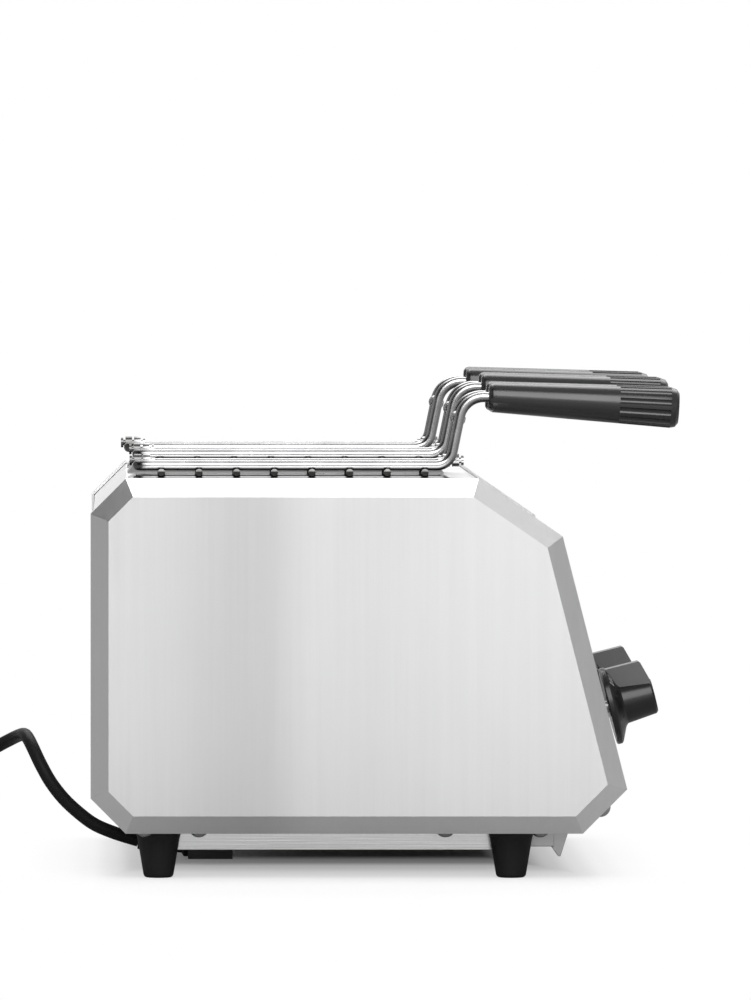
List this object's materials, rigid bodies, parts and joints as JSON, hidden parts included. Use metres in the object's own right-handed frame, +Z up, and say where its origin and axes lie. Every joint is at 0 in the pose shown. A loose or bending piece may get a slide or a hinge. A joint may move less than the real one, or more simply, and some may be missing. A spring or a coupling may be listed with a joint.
{
  "type": "slot sandwich toaster",
  "caption": "Counter sandwich toaster in brushed steel: upright slots with lift-out wire tongs, black turned handles, pointer knobs, crumb tray and mains cord.",
  "frame": {"origin": "on the table, midway between the rear face and the handles' ends, and midway between the side panels", "axes": "+X to the front (knobs and handles), +Y to the machine's right side, +Z up"},
  "size_m": [0.4833, 0.34, 0.2436],
  "materials": {
    "casing_steel": "vertical brushed grain, satin",
    "inner_steel": "plain bright sheet",
    "bright_wire": "drawn wire, bright",
    "quartz": "milky quartz",
    "element_wire": "oxidised resistance wire",
    "ceramic": "glazed ceramic",
    "core_insulation": "coloured insulation",
    "switch_body": "moulded, matt",
    "lamp_lens": "translucent amber",
    "foot_rubber": "matt black",
    "cord_rubber": "satin black",
    "tie_plastic": "matt grey",
    "knob_plastic": "glossy black",
    "shaft_steel": "bright",
    "handle_plastic": "glossy black"
  },
  "bodies": {
    "casing": {"left_side_panel": "casing_steel", "right_side_panel": "casing_steel", "top_deck": "casing_steel", "back_panel": "casing_steel", "control_panel": "casing_steel", "base_plate": "casing_steel", "slot_collars": "casing_steel", "front_bulkhead": "inner_steel", "rear_bulkhead": "inner_steel", "heat_shields": "inner_steel", "guard_grids": "bright_wire", "quartz_tubes": "quartz", "heating_coils": "element_wire", "ceramic_caps": "ceramic", "wire_duct": "inner_steel", "terminal_block": "ceramic", "core_wires": "core_insulation", "case_screws": "bright_wire", "foot_rear_left": "foot_rubber", "foot_rear_right": "foot_rubber", "foot_front_left": "foot_rubber", "foot_front_right": "foot_rubber", "foot_screws": "bright_wire", "tray_rails": "casing_steel", "timer": "switch_body", "selector_switch": "switch_body", "pilot_lamp": "lamp_lens", "cord_entry_box": "switch_body", "cord_gland": "cord_rubber", "cord_run": "cord_rubber", "cord_coil": "cord_rubber", "cord_tie": "tie_plastic", "mains_plug": "cord_rubber"},
    "crumb_tray": {"crumb_tray": "casing_steel"},
    "timer_knob": {"timer_knob": "knob_plastic", "timer_shaft": "shaft_steel"},
    "selector_knob": {"selector_knob": "knob_plastic", "selector_shaft": "shaft_steel"},
    "left_tongs": {"left_hinge_pins": "bright_wire", "left_spring": "bright_wire"},
    "left_jaw_a": {"left_tong_jaw_a": "bright_wire", "left_handle_a": "handle_plastic"},
    "left_jaw_b": {"left_tong_jaw_b": "bright_wire", "left_handle_b": "handle_plastic"},
    "middle_tongs": {"middle_hinge_pins": "bright_wire", "middle_spring": "bright_wire"},
    "middle_jaw_a": {"middle_tong_jaw_a": "bright_wire", "middle_handle_a": "handle_plastic"},
    "middle_jaw_b": {"middle_tong_jaw_b": "bright_wire", "middle_handle_b": "handle_plastic"},
    "right_tongs": {"right_hinge_pins": "bright_wire", "right_spring": "bright_wire"},
    "right_jaw_a": {"right_tong_jaw_a": "bright_wire", "right_handle_a": "handle_plastic"},
    "right_jaw_b": {"right_tong_jaw_b": "bright_wire", "right_handle_b": "handle_plastic"}
  },
  "joints": [
    {"name": "crumb_tray_slide", "type": "slide", "parent": "casing", "child": "crumb_tray", "axis": [1, 0, 0], "range_m": [0, 0.14]},
    {"name": "timer_turn", "type": "hinge", "parent": "casing", "child": "timer_knob", "pos_m": [0.10582, -0.08, 0.07837], "axis": [0.969, 0, 0.247], "range_deg": [-300, 0]},
    {"name": "selector_turn", "type": "hinge", "parent": "casing", "child": "selector_knob", "pos_m": [0.10582, 0.08, 0.07837], "axis": [0.969, 0, 0.247], "range_deg": [-270, 0]},
    {"name": "left_tongs_lift", "type": "slide", "parent": "casing", "child": "left_tongs", "axis": [0, 0, 1], "range_m": [0, 0.16]},
    {"name": "left_jaw_a_open", "type": "hinge", "parent": "left_tongs", "child": "left_jaw_a", "pos_m": [-0.04387, -0.102, 0.2017], "axis": [-1, 0, 0], "range_deg": [0, 5], "stiffness_Nm_per_rad": 0.8, "springref_deg": -8.59},
    {"name": "left_jaw_b_open", "type": "hinge", "parent": "left_tongs", "child": "left_jaw_b", "pos_m": [-0.04387, -0.102, 0.2017], "axis": [1, 0, 0], "range_deg": [0, 5], "stiffness_Nm_per_rad": 0.8, "springref_deg": -8.59},
    {"name": "middle_tongs_lift", "type": "slide", "parent": "casing", "child": "middle_tongs", "axis": [0, 0, 1], "range_m": [0, 0.16]},
    {"name": "middle_jaw_a_open", "type": "hinge", "parent": "middle_tongs", "child": "middle_jaw_a", "pos_m": [-0.04387, 0, 0.2044], "axis": [-1, 0, 0], "range_deg": [0, 5], "stiffness_Nm_per_rad": 0.8, "springref_deg": -8.59},
    {"name": "middle_jaw_b_open", "type": "hinge", "parent": "middle_tongs", "child": "middle_jaw_b", "pos_m": [-0.04387, 0, 0.2044], "axis": [1, 0, 0], "range_deg": [0, 5], "stiffness_Nm_per_rad": 0.8, "springref_deg": -8.59},
    {"name": "right_tongs_lift", "type": "slide", "parent": "casing", "child": "right_tongs", "axis": [0, 0, 1], "range_m": [0, 0.16]},
    {"name": "right_jaw_a_open", "type": "hinge", "parent": "right_tongs", "child": "right_jaw_a", "pos_m": [-0.04387, 0.102, 0.2052], "axis": [-1, 0, 0], "range_deg": [0, 5], "stiffness_Nm_per_rad": 0.8, "springref_deg": -8.59},
    {"name": "right_jaw_b_open", "type": "hinge", "parent": "right_tongs", "child": "right_jaw_b", "pos_m": [-0.04387, 0.102, 0.2052], "axis": [1, 0, 0], "range_deg": [0, 5], "stiffness_Nm_per_rad": 0.8, "springref_deg": -8.59}
  ],
  "couplings": [
    {"joint": "left_jaw_b_open", "follows": "left_jaw_a_open", "ratio": 1},
    {"joint": "middle_jaw_b_open", "follows": "middle_jaw_a_open", "ratio": 1},
    {"joint": "right_jaw_b_open", "follows": "right_jaw_a_open", "ratio": 1}
  ]
}
